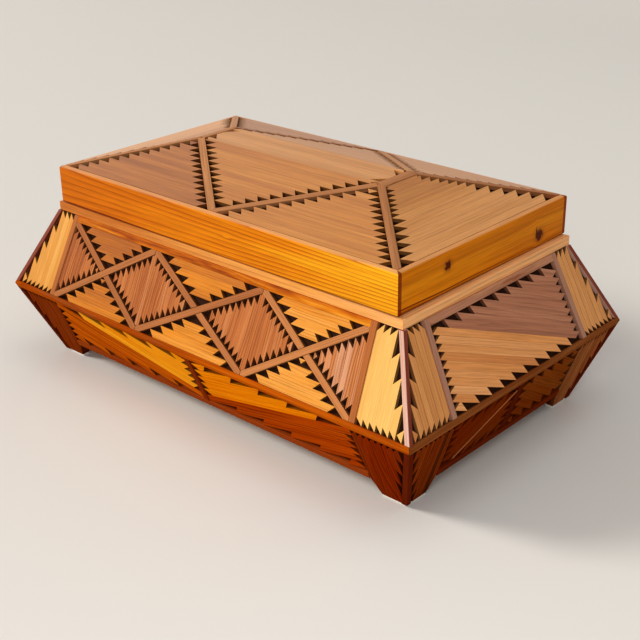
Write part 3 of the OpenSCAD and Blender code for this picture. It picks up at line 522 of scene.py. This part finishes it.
# Brown wood of the roof strips, dulled by dust and cloths
roof_strip_wood = cedar("brown_roof_strip", ["#C88A58", "#A86A40"], "#74401E", ring=1.5 * MM,
                        lines=0.6, wander=0.5)
for i, (node, body, wood, slot, tone) in enumerate([
        ("belt_strips", "box", belt_wood, "red_strip", by_wall(0.85, 0.42)),
        ("bottom_rails", "box", dark_wood, "red_strip", by_wall(0.8, 0.36)),
        ("middle_strips", "box", dark_wood, "dark_strip", by_wall(1.0, 0.65)),
        ("lower_corner_strips", "box", dark_wood, "dark_strip", graded(0.9)),
        ("upper_corner_strips", "box", corner_wood, "pink_strip", dark_at_left),
        ("top_strips", "box", flamed, "pink_strip", by_wall(1.0, 0.3)),
        ("post_strips", "box", post_wood, "pink_strip", by_wall(0.85, 0.15)),
        ("lattice_strips_front", "box", lattice_wood, "pink_strip", last_crossing_pale),
        ("lattice_strips_back", "box", lattice_wood, "pink_strip", last_crossing_pale),
        ("hip_strips", "lid", roof_strip_wood, "pink_strip", None),
        ("crown_strips", "lid", roof_strip_wood, "pink_strip", None),
        ("roof_diagonal_strips", "lid", roof_strip_wood, "pink_strip", None)]):
    timber(node, body, wood, seed=60 + i, ease=STRIP_EASE, tone=tone, jitter=0.1)

# Slats of the upper walls
# Sawn slats with one 45 degree cut at each end. The diamonds are of brown heartwood, the triangles
# and corner fields of yellow wood, and the end fields of mauve wood over tan wood.
WALL_MIDDLE = 85 * MM  # height of the middle of the upper walls
LAST_DIAMOND = 60 * MM  # the half diamonds lie further out than this


def yellow_tone(at):
    """Browner towards the top of the walls, and towards the left end of the box as painted shade.
    """
    return 0.4 - 4.2 * at[:, 0] + 9 * (at[:, 2] - WALL_MIDDLE)


def diamond_tone(at):
    """One shade but for the half diamonds: the left one is darker and the right one paler."""
    past_right = np.clip(at[:, 0] - LAST_DIAMOND, 0, None)
    past_left = np.clip(-LAST_DIAMOND - at[:, 0], 0, None)
    return 0.55 - 6 * past_right + 2.5 * past_left


def paler_to_rear(at):
    """Even in the front half of each end wall, and paler towards the back in the rear half."""
    return 0.45 - 4 * np.clip(at[:, 1], 0, None)


# Streaky brown heartwood, with dark lines a millimetre or two apart
brown = cedar("brown_heartwood_slat", ["#DA9A72", "#CC7E48", "#BE6E3A", "#A45A32"], "#6E2A0E",
              ring=1.9 * MM, lines=0.85, wander=0.55, figure=(12, 330), warp=3 * MM, sides=SIDE_SHADE)
# Yellow wood, with painted shade that browns it towards the left end of the box
yellow = cedar("yellow_cedar_slat", ["#EEA248", "#E08A2A", "#CB782C", "#B06630"], "#A04E14",
               ring=1.8 * MM, lines=0.65, wander=0.55, sides=SIDE_SHADE)
# The palest wood of the walls, nearly straw, with faint rings
light = cedar("light_cedar_slat", ["#F4BE6A", "#EBAA56", "#DE9644"], "#BC762E", ring=1.9 * MM,
              lines=0.12, wander=0.5, sides=SIDE_SHADE)
# Tan wood in long even slats
tan = cedar("tan_cedar_slat", ["#EAA260", "#CE8244"], "#A86230", ring=1.8 * MM, lines=0.45,
            wander=0.3, sides=SIDE_SHADE)
# Mauve heartwood with dark wavy lines
mauve = cedar("mauve_heartwood_slat", ["#CC8E6C", "#BA7A5A", "#A2644A"], "#6A3626", ring=3.2 * MM,
              lines=0.45, wander=0.5, figure=(9, 200), warp=4 * MM, sides=SIDE_SHADE)
# Tan wood whose slats differ from each other, some with a mauve side
mixed = cedar("mixed_tan_slat", ["#F8AE6E", "#EC9C58", "#DC8A4C", "#C4805A"], "#A8623A",
              ring=2.4 * MM, lines=0.32, wander=0.4, warp=3 * MM, sides=SIDE_SHADE)
for i, (node, wood, slot, ease, swell, tone, jitter) in enumerate([  # ease and swell in mm
        ("diamond_slats_front", brown, "brown_slat", 0.04, 0.06, diamond_tone, 0.4),
        ("diamond_slats_back", brown, "brown_slat", 0.04, 0.06, diamond_tone, 0.4),
        ("triangle_slats_front", yellow, "yellow_slat", 0.03, 0.06, yellow_tone, 0.15),
        ("triangle_slats_back", yellow, "yellow_slat", 0.03, 0.06, yellow_tone, 0.15),
        # painted shade: the corner slats of the long walls darken towards the left end
        ("corner_slats_long", light, "light_slat", 0.02, 0.068, graded(0.45, x=-2), 0.5),
        ("corner_slats_end", tan, "tan_slat", 0.14, 0.0, paler_to_rear, 0.6),
        ("end_field_upper_slats", mauve, "mauve_slat", 0.03, 0.065, graded(0.45), 0.25),
        ("end_field_lower_slats", mixed, "tan_slat", 0.05, 0.05, graded(0.35), 0.7)]):
    timber(node, "box", wood, seed=80 + i, ease=ease * MM, swell=swell * MM, tone=tone,
           jitter=jitter)

# Slats of the lower walls
# Wider slats of redder wood: dark upright ones on the legs, bright orange ones over the diagonal
# of each long field and rust red ones under it. The fields of the end walls are dark all over.


def leg_tone(at):
    """Reddest on the long walls at the right end and brown at the rear of the end walls."""
    end = np.where(at[:, 1] > 0, 0.1, 0.65)
    long = np.where(at[:, 0] > 0, 0.97, 0.65)
    return np.where(on_end(at), end, long)


# Dark red heartwood with bold wavy lines; browner towards the back of the end walls
leg = cedar("dark_red_leg_slat", ["#B2703E", "#943A0E", "#82330A", "#822401"], "#380A01",
            ring=2.2 * MM, lines=0.95, wander=0.3, warp=5 * MM, gloss=0.0, sides=SIDE_SHADE)
# The brightest wood of the box: clear orange, a little redder at the right end
orange = cedar("bright_orange_slat", ["#F8A41E", "#EE8606", "#DA6C02"], "#AE4602", ring=2.2 * MM,
               lines=0.6, wander=0.6, gloss=0.0, sides=SIDE_SHADE)
# Rust red wood with dark growth lines
rust = cedar("rust_red_slat", ["#D06408", "#B44604", "#9C3000"], "#5A1602", ring=2.6 * MM,
             lines=0.85, wander=0.45, warp=4 * MM, gloss=0.0, sides=SIDE_SHADE)
# Dark red brown wood, browner in the rear half, with a weaker painted shade on its side faces
end_red = cedar("dark_red_brown_slat", ["#914A17", "#813608", "#762602"], "#421202", ring=2.2 * MM,
                lines=0.5, wander=0.35, warp=3 * MM, gloss=0.0, sides=("#4A1404", 0.5))
for i, (node, wood, slot, tone) in enumerate([
        ("leg_slats", leg, "leg_slat", leg_tone),
        ("lower_long_bright_slats", orange, "orange_slat", graded(0.4, x=4)),
        ("lower_long_dark_slats", rust, "rust_slat", graded(0.45, x=2.5)),
        ("lower_end_bright_slats", end_red, "rust_slat", graded(0.6, y=-8)),
        ("lower_end_dark_slats", end_red, "leg_slat", graded(0.6, y=-8))]):
    timber(node, "box", wood, seed=100 + i, ease=0.04 * MM, swell=0.06 * MM, tone=tone,
           jitter=0.15)

# Diagonal lines
# A pale thin line along the slats in the front half of each end wall, from the top of the middle
# strip down towards the front leg. It is rounded, stands a third of a millimetre up, and its pale
# colour is partly a painted highlight of the lit slat edges there.
LINE_TOP = (180.57 * MM, -3.2 * MM, 49.5 * MM)  # as on the right end wall
LINE_FOOT = (169.99 * MM, -54 * MM, 20.4 * MM)
LINE_OUT = (0.94, 0.0, -0.342)


def rounded_line(name, start, end, out, width, height):
    """A thin rounded strip: a point runs along the line from start to end, and round it an ellipse
    of the given width and height, which stands across the line and out of the wall."""
    around, steps = 12, 25
    along = end - start
    across = np.cross(along, out) / np.linalg.norm(along)
    turn = np.linspace(0, 2 * math.pi, around, endpoint=False)[:, None]
    ring = width / 2 * np.cos(turn) * across + height / 2 * np.sin(turn) * out
    points = (start + np.linspace(0, 1, steps)[:, None, None] * along + ring).reshape(-1, 3)
    row, j = np.arange(steps - 1)[:, None] * around, np.arange(around)
    k = (j + 1) % around
    quads = np.stack([row + j, row + around + j, row + around + k, row + k], axis=-1).reshape(-1, 4)
    last = len(points) - 1
    ends = [list(range(around)), list(range(last, last - around, -1))]
    mesh = bpy.data.meshes.new(name)
    mesh.from_pydata(points.tolist(), [], quads.tolist() + ends)
    store(mesh, "grain", points @ np.stack([along / np.linalg.norm(along), across, out], axis=1))
    store(mesh, "tone", np.full(len(points), 0.5))
    mesh.shade_smooth()
    return put_in_scene(name, mesh)


# Straight tan wood, the palest on the lower walls, partly a painted highlight
pale_line = cedar("pale_line_and_painted_highlight", ["#BC7040", "#9C542A"], "#84441E", ring=1.5 * MM, lines=0.4)
for side, way in (("right", 1), ("left", -1)):
    top, foot, out = (np.array(place) * (way, 1, 1) for place in (LINE_TOP, LINE_FOOT, LINE_OUT))
    line = rounded_line("diagonal_line_" + side, top, foot, out, width=1.5 * MM, height=0.7 * MM)
    line.data.materials.append(pale_line)
    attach(line, "box")

# Lid boards
# Four deep rim boards of bright straight-grained wood, mitred at the corners, under a smooth
# varnish. The end ones have finer rings and two knots, and all have a dark lower edge.
PALE_EDGE = ("#E2A068", 0.8)  # colour and share of the narrow faces
LID_LIGHT_FALLOFF = -3.0  # painted light: the long boards are paler towards the right end and darker to the left
# Clear orange wood with bold rings that fan out along the board and one small curl; its low mark is
# a painted shadow of the gap over the rim
lid_board = cedar("glossy_orange_lid_board", ["#FFB41E", "#EA8A0E", "#DA7406", "#CC6604"],
                  "#A44204", ring=3.1 * MM, lines=0.95, warp=0.7 * MM, wander=0.35, rough=0.34,
                  gloss=0.05, patchy=0.1, fan=2.7, sides=PALE_EDGE,
                  knots=[(15.7, 1.7, 1.2, 2.5, 0.0)], marks=[(-13.2, 1.4, 1.0, 0.0)])
# Amber wood with faint rings, red heartwood low down, a knot near each end, and dark mitred ends;
# the lowest mark, at the lower edge, is partly painted shadow of the gap over the rim
end_board = cedar("glossy_amber_lid_board", ["#F09812", "#DE7E02", "#C46200"], HEARTWOOD_AND_GAP_SHADOW,
                  ring=3.4 * MM, lines=0.3, warp=1.0 * MM, wander=0.6, figure=(6, 90), rough=0.34,
                  gloss=0.03, sides=PALE_EDGE, mitre=83.4 * MM,
                  knots=[(55.8, -5.6, 3.1, 1.1, 1.0), (52.6, -2.2, 2.7, 0.3, 0.8),
                         (-40.8, 3.8, 2.4, 1.1, 1.0)],
                  marks=[(4.6, 3.0, 0.2, 1.0), (-10.3, 0.7, 0.8, 4.0), (-12.6, 2.0, 0.7, 1.0)])
for i, side in enumerate(SIDES):
    wood, drift = (lid_board, LID_LIGHT_FALLOFF) if side in LONG_SIDES else (end_board, 0.0)
    timber("lid_rim_" + side, "lid", wood, seed=120 + i, ease=0.3 * MM,
           tone=graded(0.45), drift=drift, shuffle=0.0)

# Roof slats
# Rows of slats level with the eaves on the four slopes, and five wide ones on the flat crown. The
# end slopes have wide slats of tan wood below and narrow browner ones above.
NARROW_FROM = 156 * MM  # height of the lowest of the narrow slats
BROWN_FROM = 30 * MM  # a painted shade browns the long slopes from this far left of the middle


def browner_left(at):
    """Even over the right half of a long slope, and browner towards its left end as painted shade.
    """
    return 0.45 - 5.2 * np.minimum(at[:, 0] + BROWN_FROM, 0)


def browner_high(at):
    """Tan for the wide slats of an end slope and browner for the narrow ones above them."""
    return np.where(at[:, 2] > NARROW_FROM, 0.45, 0.05)


# Tan wood in even straight grain, with painted shade that browns its left end
roof = cedar("tan_roof_slat", ["#DA9654", "#C8833E", "#B67036", "#8E5229"], "#7A4020",
             ring=3.4 * MM, lines=0.3, wander=0.6, figure=(6, 120), rough=0.34, gloss=0.45,
             sides=SIDE_SHADE)
for i, (side, tone, side_face_share) in enumerate([
        ("front", browner_left, 1.0), ("right", browner_high, 1.0), ("back", browner_left, 1.0),
        ("left", browner_high, 1.0), ("crown", graded(0.2), 0.0)]):
    timber("roof_slats_" + side, "lid", roof, seed=130 + i, ease=0.03 * MM,
           swell=0.06 * MM, tone=tone, jitter=0.2, side_face_share=side_face_share)

# Felt pads
# Four thin white felt pads, cut from sheet felt and glued under the feet. They are pressed flat by
# the weight of the box, with a soft edge and a short nap.

# Matted wool: tufts about a millimetre across, bright on top and greyer between, with no gloss
felt, tree = new_material("pressed_white_felt")
wool = add(tree, "Attribute", attribute_name="grain").outputs["Vector"]
tufts = add(tree, "TexNoise", {"Vector": wool, "Scale": 900.0, "Detail": 4.0})
shade = add(tree, "ValToRGB", (tufts,), stops=[(0.3, "#D8D0C2"), (0.65, "#F4EFE6")])
nap = add(tree, "Bump", {"Strength": 0.8, "Distance": 0.2 * MM, "Height": tufts})
matted = add(tree, "BsdfPrincipled", {
    "Base Color": shade, "Roughness": 0.95, "Normal": nap, "Specular IOR Level": 0.2,
    "Sheen Weight": 0.3})
add(tree, "OutputMaterial", {"Surface": matted})
timber("foot_pads", "box", felt, seed=140, ease=0.25 * MM)

# Hinges
# Two brass butt hinges let into the back, each with two leaves, a pin and six countersunk screws.
# They are hidden while the lid is shut, and their own solids are shown.

# Rolled brass, polished and then handled: yellow metal with brown blots and fine scratches
brass, tree = new_material("worn_polished_brass")
place = add(tree, "TexCoord").outputs["Object"]
blots = add(tree, "TexNoise", {"Vector": place, "Scale": 260.0, "Detail": 4.0})
drawn = add(tree, "Mapping", {"Vector": place, "Scale": (60, 4000, 4000)})
scratches = add(tree, "TexNoise", {"Vector": drawn, "Scale": 1.0, "Detail": 2.0})
tarnish = add(tree, "ValToRGB", (blots,), stops=[(0.35, "#9A7434"), (0.6, "#D9B25A")])
dull = add(tree, "MapRange", {"Value": blots, "To Min": 0.5, "To Max": 0.2})
rub = add(tree, "Bump", {"Strength": 0.25, "Distance": 0.02 * MM, "Height": scratches})
polished = add(tree, "BsdfPrincipled", {
    "Base Color": tarnish, "Metallic": 1.0, "Roughness": dull, "Normal": rub})
add(tree, "OutputMaterial", {"Surface": polished})
for node in ("hinge_leaves_box", "hinge_pins", "hinge_screws_box", "hinge_leaves_lid",
             "hinge_screws_lid"):
    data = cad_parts[node].data
    data.materials.clear()
    data.materials.append(brass)
